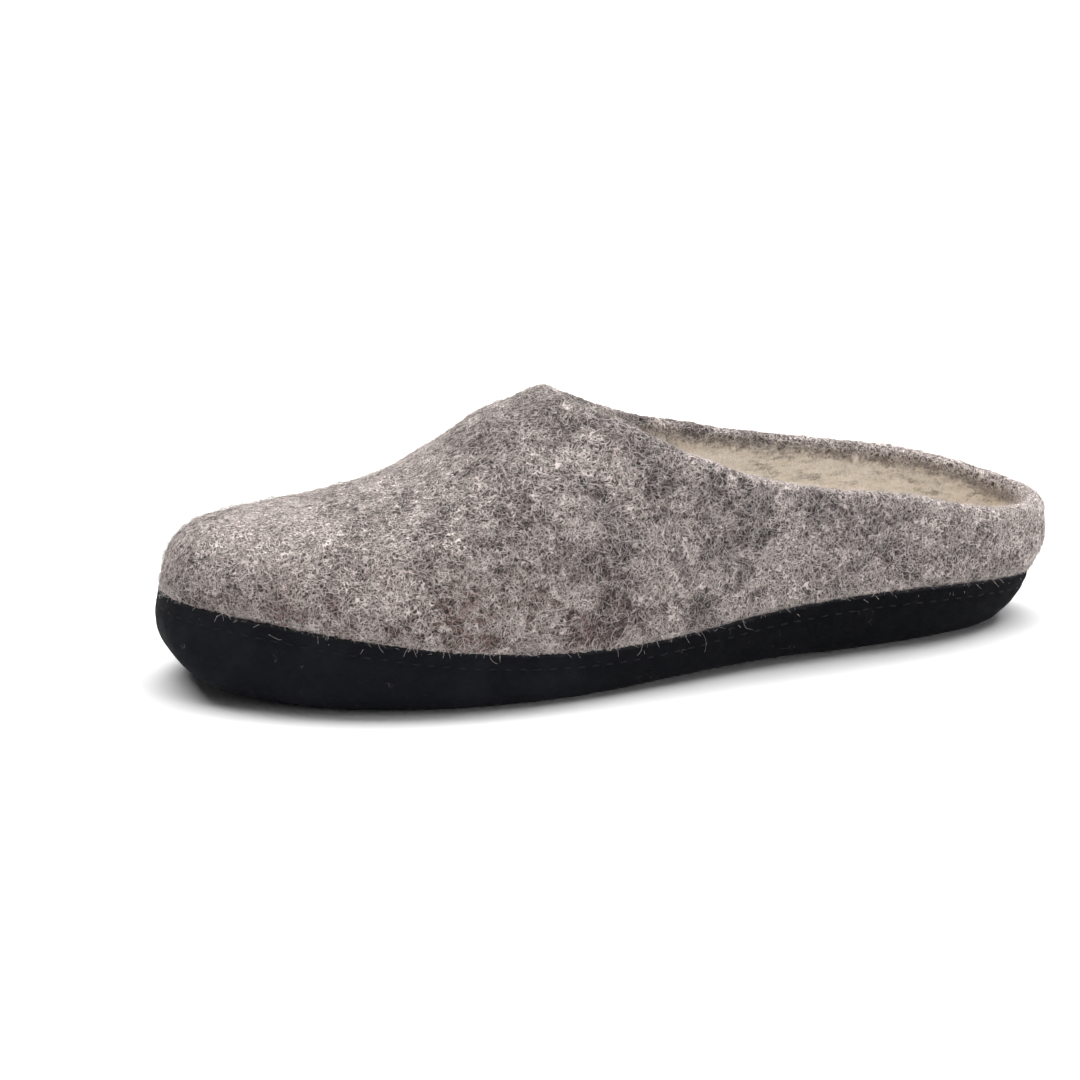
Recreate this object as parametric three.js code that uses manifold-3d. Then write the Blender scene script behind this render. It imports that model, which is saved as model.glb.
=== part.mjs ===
// Felt slipper for the left foot: a wet-felted wool body in one piece, a suede leather sole
// that cups round its foot, and a loose felt insole. It has no heel strap or fastening.
//
// Millimetres. +Y runs to the toe, +X to the big-toe side, +Z up. The origin is on the floor,
// under the middle of the slipper's bounding box.
//
// One surface, the body form, gives every piece. It is swept through the cross-sections in the
// table below, and each piece is that form grown or shrunk along its own normals.

import * as THREE from "three";
import Module from "manifold-3d";
import { mergeVertices } from "three/addons/utils/BufferGeometryUtils.js";

const wasm = await Module();
wasm.setup();

// Driving dimensions of the whole slipper
const bodyLength = 270; // felt body, back of the heel to the tip of the toe
const ballWidth = 97; // felt body across the ball of the foot
const instepHeight = 80; // floor to the top of the throat
const toeSpring = 6; // rise of the underside just behind the toe's round end

// Driving dimensions of the materials
const feltWall = 5; // wet-felted wool
const lipShoulder = 0.45; // flat left on both sides of the collar's rounded edge
const lipSink = 0.35; // how deep the rounded edge's middle line lies in the wall
const leather = 2; // suede of the sole
const leatherProud = 1; // how far the suede stands out from the felt above it
const wornFlat = 0.3; // depth of the flat that the floor presses into the suede
const innerRound = 14; // least width of the felt's rounded edge inside, under the foot
const insoleThickness = 4.5; // needled wool insole
const clearance = 0.3; // between two pieces that touch in the real slipper

// The sewn margin round the top of the suede
const marginWidth = 4; // suede edge to the stitch line
const marginStep = 0.5; // how much thinner the margin is pressed
const toeEdgeHeight = 31; // top of the suede above the floor at the toe

// How finely the form is cut into facets
const stationCount = 34; // cross-sections, heel to toe
const turnCount = 36; // points round a cross-section
const innerStationCount = 26;
const innerTurnCount = 24;
const lipCount = 64; // points along the collar
const lipSides = 10; // sides of the rounded edge

// Cross-sections, heel first. at: share of the body's length. outer, inner: half widths on the
// little-toe and big-toe side, as shares of the ball width. belly: height of the widest line,
// and roof: height of the top, both as shares of the instep height; behind the throat the roof
// is the top of the last, which the opening then takes away. lift: height of the underside over
// the flat of the sole, as a share of the toe spring. round: width of the rounded edge of the
// underside, as a share of the ball width. crown: how square the upper half is.
const sections = [
  { at: 0.0, outer: 0.0, inner: 0.0, belly: 0.36, roof: 0.36, lift: 0.0, round: 0.0, crown: 2.6 },
  { at: 0.02, outer: 0.14, inner: 0.135, belly: 0.35, roof: 0.7, lift: 1.9, round: 0.13, crown: 2.6 },
  { at: 0.07, outer: 0.232, inner: 0.215, belly: 0.32, roof: 1.0, lift: 0.1, round: 0.17, crown: 2.6 },
  { at: 0.14, outer: 0.303, inner: 0.297, belly: 0.29, roof: 1.2, lift: 0.0, round: 0.145, crown: 2.6 },
  { at: 0.24, outer: 0.336, inner: 0.328, belly: 0.27, roof: 1.32, lift: 0.0, round: 0.11, crown: 2.6 },
  { at: 0.37, outer: 0.382, inner: 0.336, belly: 0.255, roof: 1.3, lift: 0.18, round: 0.085, crown: 2.4 },
  { at: 0.5, outer: 0.46, inner: 0.382, belly: 0.24, roof: 1.09, lift: 0.12, round: 0.07, crown: 1.95 },
  { at: 0.575, outer: 0.499, inner: 0.425, belly: 0.235, roof: 1.0, lift: 0.0, round: 0.065, crown: 1.9 },
  { at: 0.63, outer: 0.517, inner: 0.456, belly: 0.235, roof: 0.94, lift: 0.0, round: 0.065, crown: 1.95 },
  { at: 0.68, outer: 0.521, inner: 0.473, belly: 0.237, roof: 0.825, lift: 0.0, round: 0.07, crown: 2.0 },
  { at: 0.73, outer: 0.515, inner: 0.484, belly: 0.24, roof: 0.735, lift: 0.0, round: 0.075, crown: 2.05 },
  { at: 0.79, outer: 0.483, inner: 0.482, belly: 0.245, roof: 0.665, lift: 0.01, round: 0.085, crown: 2.1 },
  { at: 0.85, outer: 0.43, inner: 0.454, belly: 0.25, roof: 0.64, lift: 0.08, round: 0.095, crown: 2.15 },
  { at: 0.91, outer: 0.336, inner: 0.387, belly: 0.26, roof: 0.62, lift: 0.28, round: 0.1, crown: 2.2 },
  { at: 0.96, outer: 0.215, inner: 0.258, belly: 0.275, roof: 0.59, lift: 0.85, round: 0.09, crown: 2.2 },
  { at: 1.0, outer: 0.0, inner: 0.0, belly: 0.3, roof: 0.3, lift: 0.0, round: 0.0, crown: 2.2 },
];
const keel = 2.5; // how square the rounded edge of the underside is
const flatness = 9; // how soon the underside runs level, inwards of its rounded edge

// Height of the collar's top along the body on the little-toe side (outer) and on the big-toe
// side (inner), as shares of the body length and instep height. It meets the roof at the throat
// and goes on over it, so that the opening ends there.
const collar = [
  { at: 0.0, outer: 0.452, inner: 0.46 },
  { at: 0.05, outer: 0.462, inner: 0.528 },
  { at: 0.1, outer: 0.503, inner: 0.566 },
  { at: 0.2, outer: 0.59, inner: 0.62 },
  { at: 0.3, outer: 0.654, inner: 0.68 },
  { at: 0.38, outer: 0.733, inner: 0.741 },
  { at: 0.46, outer: 0.851, inner: 0.816 },
  { at: 0.53, outer: 0.971, inner: 0.927 },
  { at: 0.575, outer: 1.03, inner: 1.015 },
  { at: 0.65, outer: 1.15, inner: 1.15 },
  { at: 1.0, outer: 1.7, inner: 1.7 },
];
const collarSpan = 0.25; // half the width over which one side's height gives way to the other's

// Height of the suede's top edge, as shares of the body length and of its height at the toe.
const suedeEdge = [
  { at: 0.0, height: 0.45 },
  { at: 0.04, height: 0.5 },
  { at: 0.1, height: 0.57 },
  { at: 0.24, height: 0.62 },
  { at: 0.37, height: 0.57 },
  { at: 0.51, height: 0.47 },
  { at: 0.63, height: 0.5 },
  { at: 0.73, height: 0.61 },
  { at: 0.83, height: 0.75 },
  { at: 0.91, height: 0.86 },
  { at: 1.0, height: 0.94 },
];

const heelY = -bodyLength / 2;
const lipRadius = feltWall / 2 - lipShoulder;
const flatHeight = leatherProud - wornFlat; // underside of the form where the sole lies flat

// A smooth curve through the rows of a table: gives a row of the same columns at any share.
function tableCurve(rows) {
  const columns = Object.keys(rows[0]).filter((name) => name !== "at");
  const values = rows.flatMap((row) => columns.map((name) => row[name]));
  const curve = new THREE.CubicInterpolant(
    rows.map((row) => row.at),
    values,
    columns.length,
  );
  return (at) => {
    const found = curve.evaluate(THREE.MathUtils.clamp(at, 0, 1));
    return Object.fromEntries(columns.map((name, i) => [name, found[i]]));
  };
}

// The form's radii vanish at both ends as a round nose's do, so the curves go through their
// squares: outer and inner half widths, rise over the belly line and drop under it.
const formCurve = tableCurve(
  sections.map((row) => {
    const belly = row.belly * instepHeight;
    const underside = flatHeight + row.lift * toeSpring;
    return {
      at: row.at,
      belly,
      outer: (row.outer * ballWidth) ** 2,
      inner: (row.inner * ballWidth) ** 2,
      rise: (row.roof * instepHeight - belly) ** 2,
      drop: row.at === 0 || row.at === 1 ? 0 : (belly - underside) ** 2,
      round: (row.round * ballWidth) ** 2,
      crown: row.crown,
    };
  }),
);

function crossSection(at) {
  const row = formCurve(at);
  for (const radius of ["outer", "inner", "rise", "drop", "round"])
    row[radius] = Math.sqrt(Math.max(row[radius], 0));
  return row;
}

const collarCurve = tableCurve(collar);
const suedeCurve = tableCurve(suedeEdge);
const shareAlong = (y) => (y - heelY) / bodyLength;
const suedeHeight = (y) => suedeCurve(shareAlong(y)).height * toeEdgeHeight;

// Height of the wall's end, under the rounded edge, at a point of the plan.
function wallEnd(x, y) {
  const { outer, inner } = collarCurve(shareAlong(y));
  const side = THREE.MathUtils.clamp(x / (collarSpan * ballWidth), -1, 1);
  const top = ((outer + inner) / 2 + (side * (inner - outer)) / 2) * instepHeight;
  return top - lipRadius + lipSink;
}

// A point of the form: at is the share along it, turn the angle round the cross-section from
// the big-toe side over the top. The underside's rounded edge is at least minRound wide.
function formPoint(at, turn, minRound = 0) {
  const row = crossSection(at);
  const [c, s] = [Math.cos(turn), Math.sin(turn)];
  const halfWidth = c > 0 ? row.inner : row.outer;
  const y = heelY + at * bodyLength;
  if (s > 0) {
    const power = 2 / row.crown;
    return new THREE.Vector3(
      halfWidth * Math.sign(c) * Math.abs(c) ** power,
      y,
      row.belly + row.rise * s ** power,
    );
  }
  const power = 2 / keel;
  const round = Math.min(halfWidth, Math.max(row.round, minRound));
  const level = (halfWidth - round) * (1 - (1 - Math.abs(c)) ** flatness);
  return new THREE.Vector3(
    Math.sign(c) * (level + round * Math.abs(c) ** power),
    y,
    row.belly - row.drop * (-s) ** power,
  );
}

// Below 0 inside the form's upper half, above 0 outside it.
function formField(x, y, z) {
  const at = shareAlong(y);
  if (at <= 0 || at >= 1) return 1;
  const row = crossSection(at);
  const across = Math.abs(x) / (x > 0 ? row.inner : row.outer);
  const upward = Math.max(z - row.belly, 0) / row.rise;
  return across ** row.crown + upward ** row.crown - 1;
}

// A closed mesh of rings of equal length between two end points, facing out.
function ringedMesh(startPoint, rings, endPoint) {
  const size = rings[0].length;
  const points = [startPoint, ...rings.flat(), endPoint];
  const last = points.length - 1;
  const index = [];
  for (let i = 0; i < size; i++) {
    const next = (i + 1) % size;
    index.push(0, 1 + next, 1 + i);
    for (let ring = 0; ring < rings.length - 1; ring++) {
      const [low, high] = [1 + ring * size, 1 + (ring + 1) * size];
      index.push(low + i, low + next, high + i, high + i, low + next, high + next);
    }
    index.push(last, last - size + i, last - size + next);
  }
  return new THREE.BufferGeometry().setFromPoints(points).setIndex(index);
}

// The form grown (or shrunk, below 0) along its normals.
function formGeometry(growth, stations, turns, minRound) {
  const rings = [];
  for (let station = 1; station < stations; station++) {
    const at = (1 - Math.cos((Math.PI * station) / stations)) / 2;
    const ring = [];
    for (let turn = 0; turn < turns; turn++) ring.push(formPoint(at, (-2 * Math.PI * turn) / turns, minRound));
    rings.push(ring);
  }
  const geometry = ringedMesh(formPoint(0, 0), rings, formPoint(1, 0));
  geometry.computeVertexNormals();
  const { position, normal } = geometry.attributes;
  for (let i = 0; i < position.count; i++)
    position.setXYZ(
      i,
      position.getX(i) + growth * normal.getX(i),
      position.getY(i) + growth * normal.getY(i),
      position.getZ(i) + growth * normal.getZ(i),
    );
  return geometry;
}

function solidOf(geometry) {
  const bare = new THREE.BufferGeometry()
    .setAttribute("position", geometry.getAttribute("position"))
    .setIndex(geometry.getIndex());
  const merged = mergeVertices(bare, 1e-4);
  return new wasm.Manifold(
    new wasm.Mesh({
      numProp: 3,
      vertProperties: merged.attributes.position.array,
      triVerts: new Uint32Array(merged.index.array),
    }),
  );
}

function geometryOf(solid) {
  const { vertProperties, triVerts } = solid.getMesh();
  const geometry = new THREE.BufferGeometry()
    .setAttribute("position", new THREE.BufferAttribute(vertProperties, 3))
    .setIndex(new THREE.BufferAttribute(triVerts, 1));
  geometry.computeVertexNormals();
  return geometry;
}

const grownForm = (growth) => solidOf(formGeometry(growth, stationCount, turnCount, 0));
const innerForm = (inset) => solidOf(formGeometry(-inset, innerStationCount, innerTurnCount, innerRound));

// Everything below a height that changes along the slipper, wide enough to take in all of it.
function groundBelow(heightAt, steps = 40) {
  const reach = bodyLength / 2 + 20;
  const outline = new THREE.Shape().moveTo(-reach, -40);
  for (let i = 0; i <= steps; i++) {
    const y = -reach + (2 * reach * i) / steps;
    outline.lineTo(y, heightAt(y));
  }
  outline.lineTo(reach, -40);
  const block = new THREE.ExtrudeGeometry(outline, { depth: 2 * ballWidth, bevelEnabled: false });
  block.deleteAttribute("normal");
  block.deleteAttribute("uv");
  // The shape's own x and y lie along the slipper's Y and Z
  const along = new THREE.Matrix4().makeBasis(
    new THREE.Vector3(0, 1, 0),
    new THREE.Vector3(0, 0, 1),
    new THREE.Vector3(1, 0, 0),
  );
  block.applyMatrix4(along).translate(-ballWidth, 0, 0);
  return solidOf(mergeVertices(block, 1e-4));
}

// Points of the collar edge on the form's surface, with the surface normal at each. They are
// found on rays from a point inside the opening.
function collarEdge() {
  const centreY = heelY + 0.26 * bodyLength;
  const edge = [];
  for (let i = 0; i < lipCount; i++) {
    // Even steps along the long, narrow opening need uneven steps of the ray's angle
    const turn = (2 * Math.PI * i) / lipCount;
    const ray = new THREE.Vector2(Math.cos(turn) * 0.34 * ballWidth, Math.sin(turn) * 0.28 * bodyLength).normalize();
    let [near, far] = [0, bodyLength];
    for (let step = 0; step < 40; step++) {
      const middle = (near + far) / 2;
      const [x, y] = [ray.x * middle, centreY + ray.y * middle];
      if (formField(x, y, wallEnd(x, y)) < 0) near = middle;
      else far = middle;
    }
    const [x, y] = [ray.x * near, centreY + ray.y * near];
    const point = new THREE.Vector3(x, y, wallEnd(x, y));
    const h = 0.05;
    const slope = (dx, dy, dz) =>
      formField(point.x + dx, point.y + dy, point.z + dz) - formField(point.x - dx, point.y - dy, point.z - dz);
    const normal = new THREE.Vector3(slope(h, 0, 0), slope(0, h, 0), slope(0, 0, h)).normalize();
    edge.push({ point, normal });
  }
  return edge;
}

// The space over the opening. Its side runs through the collar edge along the wall's normals,
// so that the wall ends square.
function openingCutter(edge) {
  const along = (distance) => edge.map(({ point, normal }) => point.clone().addScaledVector(normal, distance));
  const inside = along(-1.6 * feltWall);
  const outside = along(2 * feltWall);
  const above = outside.map((point) => new THREE.Vector3(point.x, point.y, 2.5 * instepHeight));
  const centreOf = (ring) =>
    ring.reduce((sum, point) => sum.add(point), new THREE.Vector3()).divideScalar(ring.length);
  return solidOf(ringedMesh(centreOf(inside), [inside, along(-feltWall / 2), outside, above], centreOf(above)));
}

// The rounded edge of the felt: a round cord along the middle of the wall's end.
function roundedEdge(edge) {
  const sink = new THREE.Vector3(0, 0, -lipSink);
  const centres = edge.map(({ point, normal }) =>
    point.clone().addScaledVector(normal, -feltWall / 2).add(sink),
  );
  const path = new THREE.CatmullRomCurve3(centres, true);
  const cord = new THREE.TubeGeometry(path, lipCount, lipRadius, lipSides, true);
  cord.deleteAttribute("normal");
  cord.deleteAttribute("uv");
  return solidOf(mergeVertices(cord, 1e-3));
}

// The felt body: closed under the foot, open at the collar, and pressed thinner where the suede
// lies over it.
function upper() {
  const edge = collarEdge();
  const pressedDepth = leather - leatherProud + clearance;
  const pressedZone = groundBelow((y) => suedeHeight(y) + clearance);
  const outer = grownForm(0).subtract(pressedZone).add(grownForm(-pressedDepth));
  return outer.subtract(innerForm(feltWall)).subtract(openingCutter(edge)).add(roundedEdge(edge));
}

// The suede sole: one piece of leather under the foot and up round its sides, thinner in the
// margin that is sewn to the felt, and flat where it stands on the floor.
function sole() {
  const floorClip = groundBelow(() => 0);
  const belowMargin = groundBelow((y) => suedeHeight(y) - marginWidth);
  const belowEdge = groundBelow(suedeHeight);
  const full = grownForm(leatherProud).intersect(belowMargin);
  const margin = grownForm(leatherProud - marginStep).intersect(belowEdge);
  return full.add(margin).subtract(grownForm(leatherProud - leather)).subtract(floorClip);
}

// The insole lies on the felt inside and fills it from side to side.
function insole() {
  const topHeight = (y) => {
    const row = crossSection(THREE.MathUtils.clamp(shareAlong(y), 0.08, 0.92));
    return row.belly - row.drop + feltWall + clearance + insoleThickness;
  };
  return innerForm(feltWall + clearance).intersect(groundBelow(topHeight));
}

const felt = new THREE.MeshStandardMaterial({ color: 0x9c9490, roughness: 1, metalness: 0 });
const suede = new THREE.MeshStandardMaterial({ color: 0x15161a, roughness: 0.95, metalness: 0 });
const wool = new THREE.MeshStandardMaterial({ color: 0xb5a98f, roughness: 1, metalness: 0 });

function piece(name, solid, material) {
  const mesh = new THREE.Mesh(geometryOf(solid), material);
  mesh.name = name;
  return mesh;
}

const slipper = new THREE.Group();
slipper.add(piece("upper", upper(), felt));
slipper.add(piece("sole", sole(), suede));
slipper.add(piece("insole", insole(), wool));

const box = new THREE.Box3().setFromObject(slipper);
slipper.position.set(-(box.min.x + box.max.x) / 2, -(box.min.y + box.max.y) / 2, -box.min.z);

export default slipper;
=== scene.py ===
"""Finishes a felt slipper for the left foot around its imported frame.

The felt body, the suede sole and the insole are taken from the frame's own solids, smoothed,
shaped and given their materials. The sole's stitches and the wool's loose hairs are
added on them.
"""

import logging
import math
from dataclasses import dataclass, field
from enum import Enum
from functools import partial

import bmesh
import bpy
import numpy as np
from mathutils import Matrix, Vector, noise
from mathutils.bvhtree import BVHTree
from mathutils.kdtree import KDTree


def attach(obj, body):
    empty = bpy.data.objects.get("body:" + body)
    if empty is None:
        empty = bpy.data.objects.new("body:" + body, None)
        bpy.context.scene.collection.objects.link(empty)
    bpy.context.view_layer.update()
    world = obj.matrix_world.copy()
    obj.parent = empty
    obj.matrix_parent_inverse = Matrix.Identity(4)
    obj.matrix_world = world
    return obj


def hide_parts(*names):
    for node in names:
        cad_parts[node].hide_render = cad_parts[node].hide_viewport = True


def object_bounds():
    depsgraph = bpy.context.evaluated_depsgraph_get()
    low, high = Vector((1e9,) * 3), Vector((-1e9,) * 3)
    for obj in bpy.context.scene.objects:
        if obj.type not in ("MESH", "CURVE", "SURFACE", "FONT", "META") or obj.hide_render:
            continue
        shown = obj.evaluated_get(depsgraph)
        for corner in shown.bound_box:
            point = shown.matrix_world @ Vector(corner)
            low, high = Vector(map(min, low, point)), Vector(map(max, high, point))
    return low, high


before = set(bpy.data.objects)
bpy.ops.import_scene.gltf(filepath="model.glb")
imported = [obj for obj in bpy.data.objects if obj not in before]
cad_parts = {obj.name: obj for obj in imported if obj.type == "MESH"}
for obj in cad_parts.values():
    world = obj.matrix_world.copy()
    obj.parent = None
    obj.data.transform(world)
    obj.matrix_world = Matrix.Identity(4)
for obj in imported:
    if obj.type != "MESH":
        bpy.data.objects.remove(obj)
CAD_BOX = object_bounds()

LOG = logging.getLogger("slipper")
MM = 0.001
# Lengths of the foot's round ends
HEEL_ROUND = 35 * MM
TOE_ROUND = 45 * MM
# Radius of the finest hairs
FUZZ = 0.05 * MM
Colour = tuple[float, float, float, float]
Points = np.ndarray
Socket = bpy.types.NodeSocket


def tint(code: str) -> Colour:
    """Gives the linear colour of a six-digit screen colour.

    Args:
        code: Red, green and blue in two hexadecimal digits each.

    Returns:
        The colour as Blender's sockets take it, with full alpha.
    """
    shares = [int(code[i : i + 2], 16) / 255 for i in (0, 2, 4)]
    linear = [s / 12.92 if s <= 0.04045 else ((s + 0.055) / 1.055) ** 2.4 for s in shares]
    return (*linear, 1.0)


# Node trees


class Graph:
    """A node tree with short ways to add nodes and join them."""

    def __init__(self, tree: bpy.types.NodeTree) -> None:
        """Starts on an empty tree.

        Args:
            tree: The tree of a material or of a node group.
        """
        self.tree = tree
        tree.nodes.clear()

    def add(self, kind: str, inputs: dict | None = None, **settings) -> bpy.types.Node:
        """Adds a node.

        Args:
            kind: The node's type name.
            inputs: Socket names or numbers, each with a plain value or the socket to link.
            **settings: The node's own properties.

        Returns:
            The new node.
        """
        node = self.tree.nodes.new(kind)
        for name, value in settings.items():
            setattr(node, name, value)
        for key, value in (inputs or {}).items():
            if isinstance(value, Socket):
                self.tree.links.new(value, node.inputs[key])
            else:
                node.inputs[key].default_value = value
        return node

    def math(self, operation: str, *values: Socket | float, clamp: bool = False) -> Socket:
        """Adds a Math node and gives its result."""
        inputs = dict(enumerate(values))
        return self.add("ShaderNodeMath", inputs, operation=operation, use_clamp=clamp).outputs[0]

    def mix(
        self, share: Socket | float, first: Socket | Colour, second: Socket | Colour, blend: str = "MIX"
    ) -> Socket:
        """Mixes two colours, of which share of the second, and gives the result."""
        inputs = {0: share, 6: first, 7: second}
        return self.add("ShaderNodeMix", inputs, data_type="RGBA", blend_type=blend).outputs[2]

    def remap(
        self, value: Socket, low: float, high: float, to_low: float = 0.0, to_high: float = 1.0
    ) -> Socket:
        """Stretches a span of values to another, with soft ends, and gives the result."""
        spans = {0: value, 1: low, 2: high, 3: to_low, 4: to_high}
        return self.add("ShaderNodeMapRange", spans, interpolation_type="SMOOTHSTEP").outputs[0]

    def surface(self, inputs: dict) -> None:
        """Ends a material's tree with its shader."""
        shader = self.add("ShaderNodeBsdfPrincipled", inputs)
        self.add("ShaderNodeOutputMaterial", {"Surface": shader.outputs[0]})


def new_material(name: str) -> tuple[bpy.types.Material, Graph, Socket]:
    """Makes an empty material.

    Args:
        name: The material's name.

    Returns:
        The material, its graph and the socket with the place on the piece.
    """
    made = bpy.data.materials.new(name)
    made.use_nodes = True
    graph = Graph(made.node_tree)
    return made, graph, graph.add("ShaderNodeTexCoord").outputs["Object"]


def new_group(
    name: str, inputs: dict[str, tuple[str, float]], outputs: list[str]
) -> tuple[Graph, bpy.types.Node]:
    """Makes a shader node group.

    Args:
        name: The group's name.
        inputs: Names of the inputs, each with its socket type and default value.
        outputs: Names of the outputs, all plain numbers.

    Returns:
        The group's graph and its input node.
    """
    group = bpy.data.node_groups.new(name, "ShaderNodeTree")
    for label, (kind, value) in inputs.items():
        socket = group.interface.new_socket(label, in_out="INPUT", socket_type=kind)
        if kind == "NodeSocketFloat":
            socket.default_value = value
    for label in outputs:
        group.interface.new_socket(label, in_out="OUTPUT", socket_type="NodeSocketFloat")
    graph = Graph(group)
    return graph, graph.add("NodeGroupInput")


def curl_group(layers: int = 2, sharpness: float = 2.2, shade_reach: float = 3.0) -> bpy.types.NodeTree:
    """Makes the effect of curled wool hairs that lie on a surface.

    Each layer keeps the thin lines along which a noise passes through its middle value, which
    are closed, curly loops.

    Args:
        layers: How many sets of loops lie on each other.
        sharpness: How suddenly a hair's edge ends.
        shade_reach: Width of the shade beside a hair, as a multiple of the hair's.

    Returns:
        The group. Hairs is 1 on a hair and 0 between them, and Shade is 1 close beside a hair.
    """
    sockets = {
        "Vector": ("NodeSocketVector", 0.0),
        "Size": ("NodeSocketFloat", 0.002),
        "Width": ("NodeSocketFloat", 0.05),
        "Seed": ("NodeSocketFloat", 0.0),
    }
    graph, start = new_group("curled_hairs", sockets, ["Hairs", "Shade"])
    scale = graph.math("DIVIDE", 1.0, start.outputs["Size"])
    strongest, widest = 0.0, 0.0
    for layer in range(layers):
        place = graph.math("ADD", start.outputs["Seed"], 3.7 * layer)
        wave = graph.add(
            "ShaderNodeTexNoise",
            {"Vector": start.outputs["Vector"], "W": place, "Scale": scale, "Detail": 0.7, "Distortion": 1.2},
            noise_dimensions="4D",
        )
        off = graph.math("ABSOLUTE", graph.math("SUBTRACT", wave.outputs["Fac"], 0.5))
        away = graph.math("DIVIDE", off, start.outputs["Width"])
        line = graph.math("SUBTRACT", 1.0, away, clamp=True)
        line = graph.math("MULTIPLY", line, sharpness, clamp=True)
        band = graph.math("SUBTRACT", 1.0, graph.math("DIVIDE", away, shade_reach), clamp=True)
        strongest = graph.math("MAXIMUM", strongest, line)
        widest = graph.math("MAXIMUM", widest, band)
    shade = graph.math("MULTIPLY", widest, graph.math("SUBTRACT", 1.0, strongest))
    graph.add("NodeGroupOutput", {"Hairs": strongest, "Shade": shade})
    return graph.tree


def mottle_group() -> bpy.types.NodeTree:
    """Makes the effect of uneven colour, as of fleece that was mixed by hand.

    Returns:
        The group. Value swings softly between 0 and 1, and Fine is the same at a fifth of
        the size.
    """
    sockets = {
        "Vector": ("NodeSocketVector", 0.0),
        "Size": ("NodeSocketFloat", 0.02),
        "Seed": ("NodeSocketFloat", 0.0),
    }
    graph, start = new_group("mottle", sockets, ["Value", "Fine"])
    results = {}
    for label, share in (("Value", 1.0), ("Fine", 5.0)):
        scale = graph.math("DIVIDE", share, start.outputs["Size"])
        cloud = graph.add(
            "ShaderNodeTexNoise",
            {
                "Vector": start.outputs["Vector"],
                "W": start.outputs["Seed"],
                "Scale": scale,
                "Detail": 3.0,
                "Roughness": 0.55,
                "Distortion": 0.4,
            },
            noise_dimensions="4D",
        )
        results[label] = graph.remap(cloud.outputs["Fac"], 0.3, 0.7)
    graph.add("NodeGroupOutput", results)
    return graph.tree


class Effects:
    """The node groups that several materials share, each made once."""

    def __init__(self) -> None:
        """Makes the groups."""
        self.curls = curl_group()
        self.mottle = mottle_group()

    def curled(self, graph: Graph, place: Socket, size: float, width: float, seed: float) -> bpy.types.Node:
        """Places a bed of curled hairs, as wide as a share of the noise's swing."""
        inputs = {"Vector": place, "Size": size, "Width": width, "Seed": seed}
        return graph.add("ShaderNodeGroup", node_tree=self.curls, inputs=inputs)

    def mottled(self, graph: Graph, place: Socket, size: float, seed: float) -> bpy.types.Node:
        """Places uneven colour, in blotches of a size in metres."""
        inputs = {"Vector": place, "Size": size, "Seed": seed}
        return graph.add("ShaderNodeGroup", node_tree=self.mottle, inputs=inputs)


# Finishes


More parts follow.
